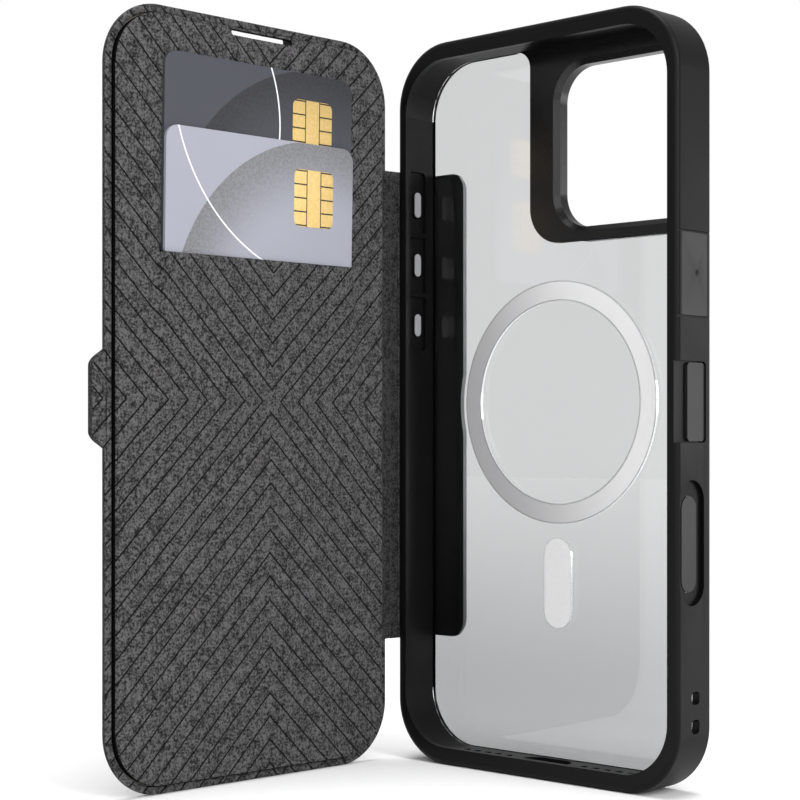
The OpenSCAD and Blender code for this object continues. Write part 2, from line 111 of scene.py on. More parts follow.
skin_lo, skin_hi = cover_box("cover_skin")
board_lo, board_hi = cover_box("cover_board")
foam_lo, _ = cover_box("cover_foam")
front_lo, front_hi = cover_box("card_front")
rear_lo, rear_hi = cover_box("card_rear")
_, pocket_hi = cover_box("pocket_panel")
crease_lo, crease_hi = cover_box("front_crease")
tab_lo, tab_hi = cover_box("closure_tab")
frame_lo, frame_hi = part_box("bumper_frame")
spine_lo, spine_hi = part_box("spine_skin")
_, lining_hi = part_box("spine_lining")
back_lo, back_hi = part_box("back_crease")
flap_lo, flap_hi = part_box("back_flap")
bond_lo, bond_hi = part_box("flap_adhesive")
ring_lo, ring_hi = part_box("ring_cover")
_, glass_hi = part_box("back_panel")

BOARD_INSET = board_lo.y - skin_lo.y
PAD_INSET = foam_lo.y - skin_lo.y
RIM_W = BOARD_INSET - 0.1 * MM
COVER_Y0 = skin_lo.y
COVER_Y1 = board_hi.y + BOARD_INSET
COVER_MID_Y = (COVER_Y0 + COVER_Y1) / 2
COVER_Z = skin_hi.z - skin_lo.z
COVER_MID_Z = (skin_hi.z + skin_lo.z) / 2
COVER_W = COVER_Y1 - COVER_Y0
COVER_R = 14 * MM
OUTER_X = skin_lo.x
INNER_X = skin_hi.x
RIM_X = tab_hi.x
CARD_LEAN = math.radians(1.2)
MOUTH_Z = pocket_hi.z
FLAP_NOTCH_R = 30.6 * MM
FLAP_R = 4 * MM
BOND_GAP = 0.03 * MM
BOND_SHORT = 0.6 * MM
KEY_WALL = 1.35 * MM
RING_MID = ((ring_lo.x + ring_hi.x) / 2, (ring_lo.z + ring_hi.z) / 2)


class Graph:
    """A node material under construction."""

    def __init__(self, name, on_cover=False):
        self.mat = bpy.data.materials.new(name)
        self.mat.use_nodes = True
        self.tree = self.mat.node_tree
        self.bsdf = self.tree.nodes["Principled BSDF"]
        self.coords = self.add("ShaderNodeTexCoord").outputs["Object"]
        if on_cover:
            square = self.add("ShaderNodeMapping", {"Vector": self.coords})
            square.inputs["Rotation"].default_value = (0, 0, SWING)
            square.inputs["Location"].default_value = square_to_case_shift()
            self.coords = square.outputs[0]

    def add(self, kind, inputs=None, **props):
        node = self.tree.nodes.new(kind)
        for key, value in props.items():
            setattr(node, key, value)
        for key, value in (inputs or {}).items():
            self.put(node.inputs[key], value)
        return node

    def put(self, socket, value):
        if isinstance(value, bpy.types.NodeSocket):
            self.tree.links.new(value, socket)
        else:
            socket.default_value = value

    def math(self, operation, a, b=0.0, c=0.0):
        return self.add("ShaderNodeMath", {0: a, 1: b, 2: c}, operation=operation).outputs[0]

    def noise(self, scale, detail=2.0, roughness=0.5, stretch=(1, 1, 1)):
        where = self.add("ShaderNodeMapping", {"Vector": self.coords, "Scale": stretch})
        made = self.add(
            "ShaderNodeTexNoise",
            {"Vector": where.outputs[0], "Scale": scale, "Detail": detail, "Roughness": roughness},
        )
        return made.outputs["Fac"]

    def ramp(self, value, low, high, to_low=0.0, to_high=1.0):
        made = self.add(
            "ShaderNodeMapRange",
            {0: value, 1: low, 2: high, 3: to_low, 4: to_high},
            clamp=True,
            interpolation_type="SMOOTHSTEP",
        )
        return made.outputs[0]

    def blend(self, amount, a, b):
        made = self.add("ShaderNodeMix", {0: amount}, data_type="RGBA")
        for index, colour in ((6, a), (7, b)):
            if not isinstance(colour, bpy.types.NodeSocket):
                colour = (*colour, 1.0)
            self.put(made.inputs[index], colour)
        return made.outputs[2]

    def bump(self, height, distance, strength=1.0):
        inputs = {"Height": height, "Distance": distance, "Strength": strength}
        made = self.add("ShaderNodeBump", inputs)
        self.put(self.bsdf.inputs["Normal"], made.outputs[0])

    def set(self, **values):
        for key, value in values.items():
            self.put(self.bsdf.inputs[key.replace("_", " ")], value)
        return self


# ---- Materials ----

PITCH = 5.24 * MM
PATTERN_MID_Y = COVER_MID_Y + 3.5 * MM
PATTERN_MID_Z = COVER_MID_Z
LINE_HALF = 0.17 * MM
PERP = PITCH / math.sqrt(2)
BLACK = (0.0015, 0.0015, 0.0017)
PRINTED_BLACK = (0.020, 0.020, 0.021)


def line_distance_node(g):
    """Distance from the nearest chevron line, as a node socket."""
    split = g.add("ShaderNodeSeparateXYZ", {0: g.coords})
    across = g.math("ABSOLUTE", g.math("SUBTRACT", split.outputs[1], PATTERN_MID_Y))
    up = g.math("ABSOLUTE", g.math("SUBTRACT", split.outputs[2], PATTERN_MID_Z))
    turns = g.math("DIVIDE", g.math("SUBTRACT", up, across), PITCH)
    part = g.math("SUBTRACT", g.math("FRACT", turns), 0.5)
    return g.math("MULTIPLY", g.math("ABSOLUTE", part), PERP)


def felt(name, dark, light, lines=False):
    """Heathered felt: short fibres of two greys, with thin pressed lines if asked for."""
    g = Graph(name, on_cover=True)
    patches = g.noise(600, 3, 0.6)
    tufts = g.noise(1900, 3, 0.65)
    across = g.noise(2600, 2, 0.6, (1, 0.4, 1))
    upright = g.noise(2600, 2, 0.6, (1, 1, 0.5))
    fibres = g.math("MULTIPLY", g.math("ADD", across, upright), 0.5)
    mixed = g.math("ADD", g.math("MULTIPLY", patches, 0.22), g.math("MULTIPLY", tufts, 0.43))
    mixed = g.math("ADD", mixed, g.math("MULTIPLY", fibres, 0.35))
    colour = g.blend(g.ramp(mixed, 0.41, 0.59), dark, light)
    height = mixed
    if lines:
        near = line_distance_node(g)
        wobble = g.math("MULTIPLY", g.math("SUBTRACT", tufts, 0.5), 0.22 * MM)
        mark = g.ramp(g.math("ADD", near, wobble), LINE_HALF * 0.6, LINE_HALF * 1.7, 1.0, 0.0)
        colour = g.blend(mark, colour, BLACK)
        height = g.math("SUBTRACT", height, g.math("MULTIPLY", mark, 0.9))
    g.bump(height, 0.16 * MM, 0.7)
    return g.set(Base_Color=colour, Roughness=0.95, Sheen_Weight=0.06, Sheen_Roughness=0.5,
                 Specular_IOR_Level=0.15).mat


def painted_shade_edge():
    """The pad's cut edge: near black as painted shade, with the ends of the fibres showing."""
    g = Graph("pad_edge_painted_shade", on_cover=True)
    ends = g.noise(3000, 3, 0.7)
    g.bump(ends, 0.05 * MM, 0.5)
    colour = g.blend(g.ramp(ends, 0.4, 0.7), BLACK, (0.006, 0.006, 0.007))
    return g.set(Base_Color=colour, Roughness=0.98, Specular_IOR_Level=0.05).mat


def moulded(name, colour, roughness, grain=5200, depth=0.02, edge_highlight=0.35, gloss=0.5):
    """Moulded plastic with a fine spark-eroded grain, less rough on its edges, which a painted
    highlight lightens.
    """
    g = Graph(name)
    fine = g.noise(grain, 3, 0.6)
    cloud = g.noise(60, 3, 0.55)
    # Edges found by pointiness get a lighter colour, a painted highlight, and less roughness.
    point = g.add("ShaderNodeNewGeometry").outputs["Pointiness"]
    edge = g.ramp(point, 0.52, 0.60)
    highlit = [min(1.0, c * (1 + edge_highlight) + 0.003) for c in colour]
    darker = [c * 0.86 for c in colour]
    base = g.blend(g.ramp(cloud, 0.35, 0.65), darker, colour)
    base = g.blend(g.math("MULTIPLY", edge, edge_highlight), base, highlit)
    rough = g.math("ADD", g.math("MULTIPLY", cloud, 0.12), roughness - 0.06)
    rough = g.math("SUBTRACT", rough, g.math("MULTIPLY", edge, 0.10))
    g.bump(fine, depth * MM, 0.5)
    return g.set(Base_Color=base, Roughness=rough, Specular_IOR_Level=gloss).mat


def two_tone_key():
    """A black key whose pad, inside the bumper's wall, is grey."""
    g = Graph("grey_key")
    inside = g.math("GREATER_THAN", g.add("ShaderNodeSeparateXYZ", {0: g.coords}).outputs[0],
                    frame_lo.x + KEY_WALL)
    fine = g.noise(5200, 3, 0.6)
    grey = g.blend(fine, (0.25, 0.25, 0.26), (0.30, 0.30, 0.31))
    g.bump(fine, 0.02 * MM, 0.5)
    return g.set(Base_Color=g.blend(inside, (0.0045, 0.0045, 0.005), grey), Roughness=0.42,
                 Specular_IOR_Level=0.25).mat


def clear_panel():
    """Clear hard plastic, tinted darker towards its foot as painted shade, with hairline scratches.
    """
    g = Graph("clear_panel")
    up = g.add("ShaderNodeSeparateXYZ", {0: g.coords}).outputs[2]
    cloud = g.noise(22, 3, 0.5)
    hair = g.noise(900, 2, 0.5, (1, 1, 0.04))
    # Darker towards the foot: painted shade, broken up a little by a soft cloud.
    painted_shade = g.ramp(up, 0.10 * glass_hi.z, 0.45 * glass_hi.z)
    painted_shade = g.math("ADD", painted_shade, g.math("MULTIPLY", g.math("SUBTRACT", cloud, 0.5), 0.1))
    base = g.blend(painted_shade, (0.39, 0.395, 0.40), (0.69, 0.695, 0.70))
    rough = g.math("ADD", g.math("MULTIPLY", g.ramp(hair, 0.62, 0.75), 0.04), 0.015)
    return g.set(Base_Color=base, Roughness=rough, Transmission_Weight=1.0, IOR=1.49).mat


def radius_node(g, mid_x, mid_z):
    """Distance from an axis along Y, as a node socket."""
    split = g.add("ShaderNodeSeparateXYZ", {0: g.coords})
    across = g.math("SUBTRACT", split.outputs[0], mid_x)
    up = g.math("SUBTRACT", split.outputs[2], mid_z)
    square = g.math("ADD", g.math("MULTIPLY", across, across), g.math("MULTIPLY", up, up))
    return g.math("SQRT", square), across, up


def ring_film():
    """Printed film, lighter to one side and upwards as a painted sheen, with a darker line along
    both of its edges.
    """
    g = Graph("ring_film")
    radius, across, up = radius_node(g, *RING_MID)
    outer = (ring_hi.x - ring_lo.x) / 2
    half = 2.25 * MM
    off = g.math("ABSOLUTE", g.math("SUBTRACT", radius, outer - half))
    rim = g.ramp(off, half - 0.34 * MM, half - 0.16 * MM)
    # Lighter across and up the film: a painted sheen.
    painted_sheen = g.ramp(g.math("ADD", across, g.math("MULTIPLY", up, 0.3)), -26 * MM, 26 * MM)
    sheen_colour = g.blend(painted_sheen, (0.48, 0.48, 0.49), (0.97, 0.97, 0.98))
    base = g.blend(g.math("MULTIPLY", rim, 0.6), sheen_colour, (0.26, 0.26, 0.27))
    g.bump(g.noise(2600, 2, 0.5), 0.01 * MM, 0.3)
    return g.set(Base_Color=base, Roughness=0.32, Metallic=0.1, Coat_Weight=0.3).mat


def plain_film():
    g = Graph("bar_film")
    speck = g.noise(2600, 2, 0.5)
    base = g.blend(g.ramp(speck, 0.3, 0.7), (0.82, 0.82, 0.83), (0.86, 0.86, 0.87))
    return g.set(Base_Color=base, Roughness=0.30, Metallic=0.05, Coat_Weight=0.3).mat


def adhesive_film():
    """White film, printed black where the flap lies on it."""
    g = Graph("adhesive_film")
    radius, _, _ = radius_node(g, *RING_MID)
    split = g.add("ShaderNodeSeparateXYZ", {0: g.coords})
    up = g.math("ABSOLUTE", g.math("SUBTRACT", split.outputs[2], (flap_lo.z + flap_hi.z) / 2))
    past_side = g.math("MAXIMUM", g.math("SUBTRACT", split.outputs[0], flap_hi.x - FLAP_R), 0.0)
    past_end = g.math("MAXIMUM", g.math("SUBTRACT", up, (flap_hi.z - flap_lo.z) / 2 - FLAP_R), 0.0)
    square = g.math("ADD", g.math("MULTIPLY", past_side, past_side),
                    g.math("MULTIPLY", past_end, past_end))
    beyond = g.math("MAXIMUM", g.math("GREATER_THAN", g.math("SQRT", square), FLAP_R),
                    g.math("LESS_THAN", radius, FLAP_NOTCH_R))
    speck = g.noise(1800, 2, 0.5)
    white = g.blend(speck, (0.86, 0.86, 0.87), (0.92, 0.92, 0.93))
    g.bump(speck, 0.01 * MM, 0.3)
    return g.set(Base_Color=g.blend(beyond, PRINTED_BLACK, white), Roughness=0.45).mat


def metal(name, colour, roughness):
    g = Graph(name)
    brushed = g.noise(700, 3, 0.6, (1, 1, 0.06))
    base = g.blend(g.ramp(brushed, 0.3, 0.7), [c * 0.82 for c in colour], colour)
    rough = g.math("ADD", g.math("MULTIPLY", brushed, 0.2), roughness - 0.1)
    g.bump(brushed, 0.004 * MM, 0.4)
    return g.set(Base_Color=base, Roughness=rough, Metallic=1.0).mat


def board_material():
    g = Graph("grey_board")
    pulp = g.noise(1300, 4, 0.7)
    base = g.blend(g.ramp(pulp, 0.3, 0.7), (0.22, 0.20, 0.16), (0.36, 0.33, 0.28))
    g.bump(pulp, 0.05 * MM, 0.5)
    return g.set(Base_Color=base, Roughness=0.9).mat


def foam_material():
    g = Graph("foam")
    cells = g.add("ShaderNodeTexVoronoi", {"Vector": g.coords, "Scale": 2200})
    base = g.blend(g.ramp(cells.outputs["Distance"], 0.1, 0.6), (0.02, 0.02, 0.02),
                   (0.01, 0.01, 0.01))
    g.bump(cells.outputs["Distance"], 0.1 * MM, 0.8)
    return g.set(Base_Color=base, Roughness=0.95).mat


def card_material(name, base, disc_base, arc_at, arc_r, disc_at, disc_r):
    """Satin laminate: one thin arc, and a shade that gathers inside a large disc."""
    g = Graph(name, on_cover=True)
    split = g.add("ShaderNodeSeparateXYZ", {0: g.coords})
    y, z = split.outputs[1], split.outputs[2]

    def radius_from(at):
        dy = g.math("SUBTRACT", y, FOLD_Y - at[0] * MM)
        dz = g.math("SUBTRACT", z, at[1] * MM)
        return g.math("SQRT", g.math("ADD", g.math("MULTIPLY", dy, dy), g.math("MULTIPLY", dz, dz)))

    disc = radius_from(disc_at)
    shade = g.math("MULTIPLY", g.ramp(disc, (disc_r - 17) * MM, disc_r * MM),
                   g.math("LESS_THAN", disc, disc_r * MM))
    grain = g.noise(1800, 2, 0.6)
    shade = g.math("MULTIPLY", shade, g.ramp(grain, 0.35, 0.65, 0.7, 1.0))
    colour = g.blend(shade, base, disc_base)
    near = g.math("ABSOLUTE", g.math("SUBTRACT", radius_from(arc_at), arc_r * MM))
    colour = g.blend(g.ramp(near, 0.12 * MM, 0.24 * MM, 1.0, 0.0), colour, (0.80, 0.81, 0.83))
    rough = g.math("ADD", g.math("MULTIPLY", grain, 0.08), 0.42)
    return g.set(Base_Color=colour, Roughness=rough, Specular_IOR_Level=0.3).mat


CHIP_COLUMN = 2.1 * MM


def chip_material(box_lo, box_hi, name):
    """Gold contacts parted by thin grooves."""
    g = Graph(name, on_cover=True)
    split = g.add("ShaderNodeSeparateXYZ", {0: g.coords})
    mid_y, mid_z = (box_lo.y + box_hi.y) / 2, (box_lo.z + box_hi.z) / 2
    dy = g.math("ABSOLUTE", g.math("SUBTRACT", split.outputs[1], mid_y))
    dz = g.math("SUBTRACT", split.outputs[2], mid_z)
    turn = g.math("FRACT", g.math("ADD", g.math("DIVIDE", dz, 3.1 * MM), 10.5))
    rows = g.math("ABSOLUTE", g.math("SUBTRACT", turn, 0.5))
    row_gap = g.math("MULTIPLY", g.math("LESS_THAN", rows, 0.05),
                     g.math("GREATER_THAN", dy, CHIP_COLUMN))
    column = g.math("ABSOLUTE", g.math("SUBTRACT", dy, CHIP_COLUMN))
    gap = g.math("MAXIMUM", row_gap, g.math("LESS_THAN", column, 0.13 * MM))
    brushed = g.noise(1500, 2, 0.5)
    gold = g.blend(brushed, (0.62, 0.42, 0.14), (0.86, 0.63, 0.27))
    colour = g.blend(gap, gold, (0.05, 0.04, 0.03))
    g.bump(g.math("SUBTRACT", 1.0, gap), 0.03 * MM, 0.6)
    return g.set(Base_Color=colour, Roughness=0.32, Metallic=0.7).mat


FELT_DARK = (0.0075, 0.0075, 0.0075)
FELT_LIGHT = (0.102, 0.099, 0.102)
FABRIC = felt("heather_felt_lined", FELT_DARK, FELT_LIGHT, lines=True)
FABRIC_PLAIN = felt("heather_felt", FELT_DARK, FELT_LIGHT)
EDGE_SHADE = 0.4
NECK_SHADE = 0.38
# A darker copy of the felt for the skin's sides: painted shade.
FABRIC_SHADE_EDGE = felt("heather_felt_edge_painted_shade", [c * EDGE_SHADE for c in FELT_DARK],
                   [c * EDGE_SHADE for c in FELT_LIGHT])
# A darker copy of the felt for the neck and front fold: painted shade between cover and case.
FABRIC_SHADE_NECK = felt("heather_felt_neck_painted_shade", [c * NECK_SHADE for c in FELT_DARK],
                   [c * NECK_SHADE for c in FELT_LIGHT])
PAD_SHADE_EDGE = painted_shade_edge()
TPU = moulded("black_tpu", (0.0022, 0.0022, 0.0025), 0.44, gloss=0.13)
SURROUND = moulded("satin_black", (0.004, 0.004, 0.0045), 0.34, gloss=0.35)
BLACK_KEY = moulded("black_key", (0.012, 0.012, 0.013), 0.40, gloss=0.2)
GREY_KEY = two_tone_key()
MAGNET = metal("nickel", (0.55, 0.55, 0.56), 0.32)
BOARD = board_material()
CARD_FRONT = card_material("card_light", (0.31, 0.32, 0.37), (0.155, 0.155, 0.16),
                           (23.3, 156.3), 44.1, (23.7, 101.0), 43.4)
CARD_REAR = card_material("card_dark", (0.056, 0.059, 0.071), (0.025, 0.025, 0.029),
                          (70.8, 146.2), 34.3, (22.5, 115.2), 45.6)

ADHESIVE = adhesive_film()

FINISH = {
    "bumper_frame": TPU,
    "back_panel": clear_panel(),
    "camera_surround": SURROUND,
    "ring_magnets": MAGNET,
    "ring_cover": ring_film(),
    "alignment_magnet": MAGNET,
    "alignment_cover": plain_film(),
    "action_button": GREY_KEY,
    "volume_up_button": GREY_KEY,
    "volume_down_button": GREY_KEY,
    "side_button": BLACK_KEY,
    "camera_control_pad": BLACK_KEY,
    "closure_pad": BLACK_KEY,
    "closure_keeper": MAGNET,
    "closure_magnets": MAGNET,
    "flap_adhesive": ADHESIVE,
    "spine_stiffener": BOARD,
    "cover_board": BOARD,
    "cover_foam": foam_material(),
    "card_front": CARD_FRONT,
    "card_rear": CARD_REAR,
    "card_front_chip": chip_material(*cover_box("card_front_chip"), "chip_front"),
    "card_rear_chip": chip_material(*cover_box("card_rear_chip"), "chip_rear"),
}
for node_name, finish in FINISH.items():
    slots = NODES[node_name].data.materials
    slots.clear()
    slots.append(finish)

# ---- Mesh helpers ----


def make_piece(name, verts, faces, finish, body, slot, *replaced):
    """A mesh piece that rides on a body and stands for the CAD nodes named."""
    mesh = bpy.data.meshes.new(name)
    mesh.from_pydata([tuple(v) for v in verts], [], faces)
    mesh.validate()
    built = bmesh.new()
    built.from_mesh(mesh)
    bmesh.ops.recalc_face_normals(built, faces=built.faces)
    built.to_mesh(mesh)
    built.free()
    mesh.materials.append(finish)
    piece = bpy.data.objects.new(name, mesh)
    bpy.context.scene.collection.objects.link(piece)
    for polygon in mesh.polygons:
        polygon.use_smooth = True
    if body:
        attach(piece, body)
    if replaced:
        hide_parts(*replaced)
    return piece


def smooth_by_angle(piece, degrees):
    """Edges sharper than the angle stay crisp."""
    limit = math.radians(degrees)
    built = bmesh.new()
    built.from_mesh(piece.data)
    for edge in built.edges:
        edge.smooth = len(edge.link_faces) < 2 or edge.calc_face_angle(0.0) < limit
    built.to_mesh(piece.data)
    built.free()


def rounded_loop(mid, w, h, r, corner_steps, side_steps):
    """Points round a rounded rectangle, anticlockwise, with even counts for lofting."""
    points = []
    for quarter in range(4):
        cx = mid[0] + (w / 2 - r) * (1, -1, -1, 1)[quarter]
        cy = mid[1] + (h / 2 - r) * (1, 1, -1, -1)[quarter]
        for step in range(corner_steps + 1):
            angle = math.radians(90 * (quarter + step / corner_steps))
            points.append((cx + r * math.cos(angle), cy + r * math.sin(angle)))
        nx = mid[0] + (w / 2 - r) * (-1, -1, 1, 1)[quarter]
        ny = mid[1] + (h / 2 - r) * (1, -1, -1, 1)[quarter]
        last = points[-1]
        end_angle = math.radians(90 * (quarter + 1))
        end = (nx + r * math.cos(end_angle), ny + r * math.sin(end_angle))
        for step in range(1, side_steps):
            t = step / side_steps
            points.append((last[0] + (end[0] - last[0]) * t, last[1] + (end[1] - last[1]) * t))
    return points


def rounded_distance(p, mid, w, h, r):
    """Signed distance to a rounded rectangle, negative inside; p is an array of points."""
    q = np.abs(p - np.array(mid)) - np.array([w / 2 - r, h / 2 - r])
    outside = np.linalg.norm(np.maximum(q, 0), axis=1)
    return outside + np.minimum(np.maximum(q[:, 0], q[:, 1]), 0) - r


def triangulate(loops, points, keep):
    """Triangles over the loops' inside, through the extra points, where keep allows."""
    coords = []
    edges = []
    for loop in loops:
        start = len(coords)
        coords += [Vector(p) / MM for p in loop]
        edges += [(start + n, start + (n + 1) % len(loop)) for n in range(len(loop))]
    coords += [Vector(p) / MM for p in points]
    verts, _, faces, *_ = delaunay_2d_cdt(coords, edges, [], 0, 1e-5)
    flat = np.array([tuple(v) for v in verts]) * MM
    tris = np.array([f for f in faces if len(f) == 3])
    centres = flat[tris].mean(axis=1)
    return flat, tris[keep(centres)]


def sheet_solid(flat, tris, front, back, place):
    """A closed sheet: the front and back surfaces, joined along their edges."""
    used = np.unique(tris)
    renumber = -np.ones(len(flat), int)
    renumber[used] = np.arange(len(used))
    flat, tris = flat[used], renumber[tris]
    count = len(flat)
    heights = front(flat)
    lows = back(flat, heights)
    verts = [place(p, h) for p, h in zip(flat, heights)] + [place(p, h) for p, h in zip(flat, lows)]
    faces = [tuple(t) for t in tris] + [tuple(count + i for i in t[::-1]) for t in tris]
    seen = {}
    for t in tris:
        for a, b in ((t[0], t[1]), (t[1], t[2]), (t[2], t[0])):
            seen[(a, b)] = seen.get((a, b), 0) + 1
    for a, b in seen:
        if (b, a) not in seen:
            faces.append((b, a, count + a, count + b))
    return verts, faces


def arc(cy, cz, r, start, end, steps):
    angles = [math.radians(start + (end - start) * n / steps) for n in range(steps + 1)]
    return [(cy + r * math.cos(a), cz + r * math.sin(a)) for a in angles]


def on_cover(p, h):
    return (h, p[0], p[1])


def face_inwards(piece, inner, side, least=0.5):
    """Gives the faces that look out of the cover's inner side one finish, and its sides another."""
    mesh = piece.data
    mesh.materials.append(inner)
    mesh.materials.append(side)
    for polygon in mesh.polygons:
        if polygon.normal.x > least:
            polygon.material_index = 1
        elif polygon.normal.x > -least:
            polygon.material_index = 2


def face_skin(piece):
    """Gives the skin's inner side the lined felt and its cut edge a darker copy of that felt,
    painted shade.
    """
    mesh = piece.data
    mesh.materials.append(FABRIC)
    mesh.materials.append(FABRIC_SHADE_EDGE)
    for polygon in mesh.polygons:
        if polygon.normal.x > 0.7:
            polygon.material_index = 1
        elif abs(polygon.normal.x) < 0.4:
            polygon.material_index = 2


# ---- Inner fabric of the cover: one sheet with the card slit, and its neck ----

FABRIC_INSET = PAD_INSET - 0.06 * MM
FABRIC_T = 0.5 * MM
EDGE_T = 0.9 * MM
FABRIC_ROLL = 0.3 * MM
DIP = 0.12 * MM
CARD_HALF = (front_hi.y - front_lo.y) / 2
CARD_MID_Y = (front_hi.y + front_lo.y) / 2
SLIT_HALF = CARD_HALF + 0.35 * MM
SLIT_OPEN = 0.12 * MM
SLOT_W, SLOT_Z0, SLOT_R = 17.5 * MM, 165.6 * MM, 0.5 * MM
LINING_SLOT_H, BODY_SLOT_H = 1.3 * MM, 1.95 * MM
SLOT_MID_Y = COVER_MID_Y + 1.3 * MM
NECK_Y1 = crease_lo.y
NECK_FILLET = 1.2 * MM


def slot_loop(h, shrink=0.0):
    """Outline of the earpiece slot, h high, a little narrower by shrink."""
    return rounded_loop((SLOT_MID_Y, SLOT_Z0 + h / 2), SLOT_W - 2 * shrink, h - 2 * shrink,
                        SLOT_R - shrink, 6, 12)


def slot_distance(p, h):
    return rounded_distance(p, (SLOT_MID_Y, SLOT_Z0 + h / 2), SLOT_W, h, SLOT_R)


def fabric_outline(inset, corner_steps=24, side_steps=60):
    return rounded_loop((COVER_MID_Y, COVER_MID_Z), COVER_W - 2 * inset, COVER_Z - 2 * inset,
                        COVER_R - inset, corner_steps, side_steps)


def edge_distance(p, inset):
    return -rounded_distance(p, (COVER_MID_Y, COVER_MID_Z), COVER_W - 2 * inset,
                             COVER_Z - 2 * inset, COVER_R - inset)


def neck_distance(p):
    """Distance inside the neck, which runs on past its end and deep into the pad."""
    half = (crease_hi.z - crease_lo.z) / 2
    mid = (crease_hi.z + crease_lo.z) / 2
    return np.minimum(half - np.abs(p[:, 1] - mid), p[:, 0] - (COVER_Y1 - 8 * MM))


def sheet_distance(p):
    return np.maximum(edge_distance(p, FABRIC_INSET), neck_distance(p))


def with_neck(outline):
    """The pad's outline with the neck standing out of its spine side."""
    edge = COVER_Y1 - FABRIC_INSET
    z0, z1 = crease_lo.z, crease_hi.z
    r = NECK_FILLET
    kept = [p for p in outline if not (p[0] > edge - 1e-7 and z0 - r < p[1] < z1 + r)]
    start = max(range(len(kept)), key=lambda n: (kept[n][0] > edge - 1e-7) and kept[n][1] < z0)
    kept = kept[start + 1:] + kept[:start + 1]
    neck = arc(edge + r, z0 - r, r, 180, 90, 6)
    neck += [(NECK_Y1, z0 + (z1 - z0) * n / 60) for n in range(61)]
    neck += arc(edge + r, z1 + r, r, 270, 180, 6)
    return kept + neck


def smooth_fall(value, start, width):
    """1 before start, 0 after start + width."""
    t = np.clip((value - start) / width, 0, 1)
    return 1 - t * t * (3 - 2 * t)


def fabric_front(p):
    y, z = p[:, 0], p[:, 1]
    off = np.abs(y - CARD_MID_Y)
    card_back = rear_lo.x + (z - rear_lo.z) * math.tan(CARD_LEAN) - 0.03 * MM
    sink = np.maximum(0, INNER_X - card_back) * (z <= rear_hi.z)
    sink *= smooth_fall(off, CARD_HALF + 0.1 * MM, 1.1 * MM)
    card_front = front_hi.x - (front_hi.z - z) * math.tan(CARD_LEAN) + 0.05 * MM + FABRIC_T
    below = np.maximum(0, MOUTH_Z - z)
    lift = np.maximum(0, card_front - INNER_X)
    spread = 1.15 * MM + np.minimum(4 * MM, 0.16 * below)
    lift *= smooth_fall(off, CARD_HALF + 0.05 * MM, spread)
    raised = np.where(z > MOUTH_Z, -sink, lift)
    roll = np.clip(FABRIC_ROLL - sheet_distance(p), 0, FABRIC_ROLL)
    drop = FABRIC_ROLL - np.sqrt(np.maximum(0, FABRIC_ROLL**2 - roll**2))
    up = np.abs(z - PATTERN_MID_Z)
    across = np.abs(y - PATTERN_MID_Y)
    part = np.abs(((up - across) / PITCH) % 1.0 - 0.5) * PERP
    dip = DIP * np.clip(1 - part / (0.45 * MM), 0, 1)
    return INNER_X + raised - drop - dip


def fabric_back(p, fronts):
    """The sheet is thicker along its turned edge and in the neck."""
    border = smooth_fall(sheet_distance(p), 0.5 * MM, 0.5 * MM)
    neck = 1 - smooth_fall(p[:, 0], COVER_Y1 - FABRIC_INSET - 0.4 * MM, 0.3 * MM)
    return np.minimum(fronts, INNER_X) - FABRIC_T - EDGE_T * np.maximum(border, neck)


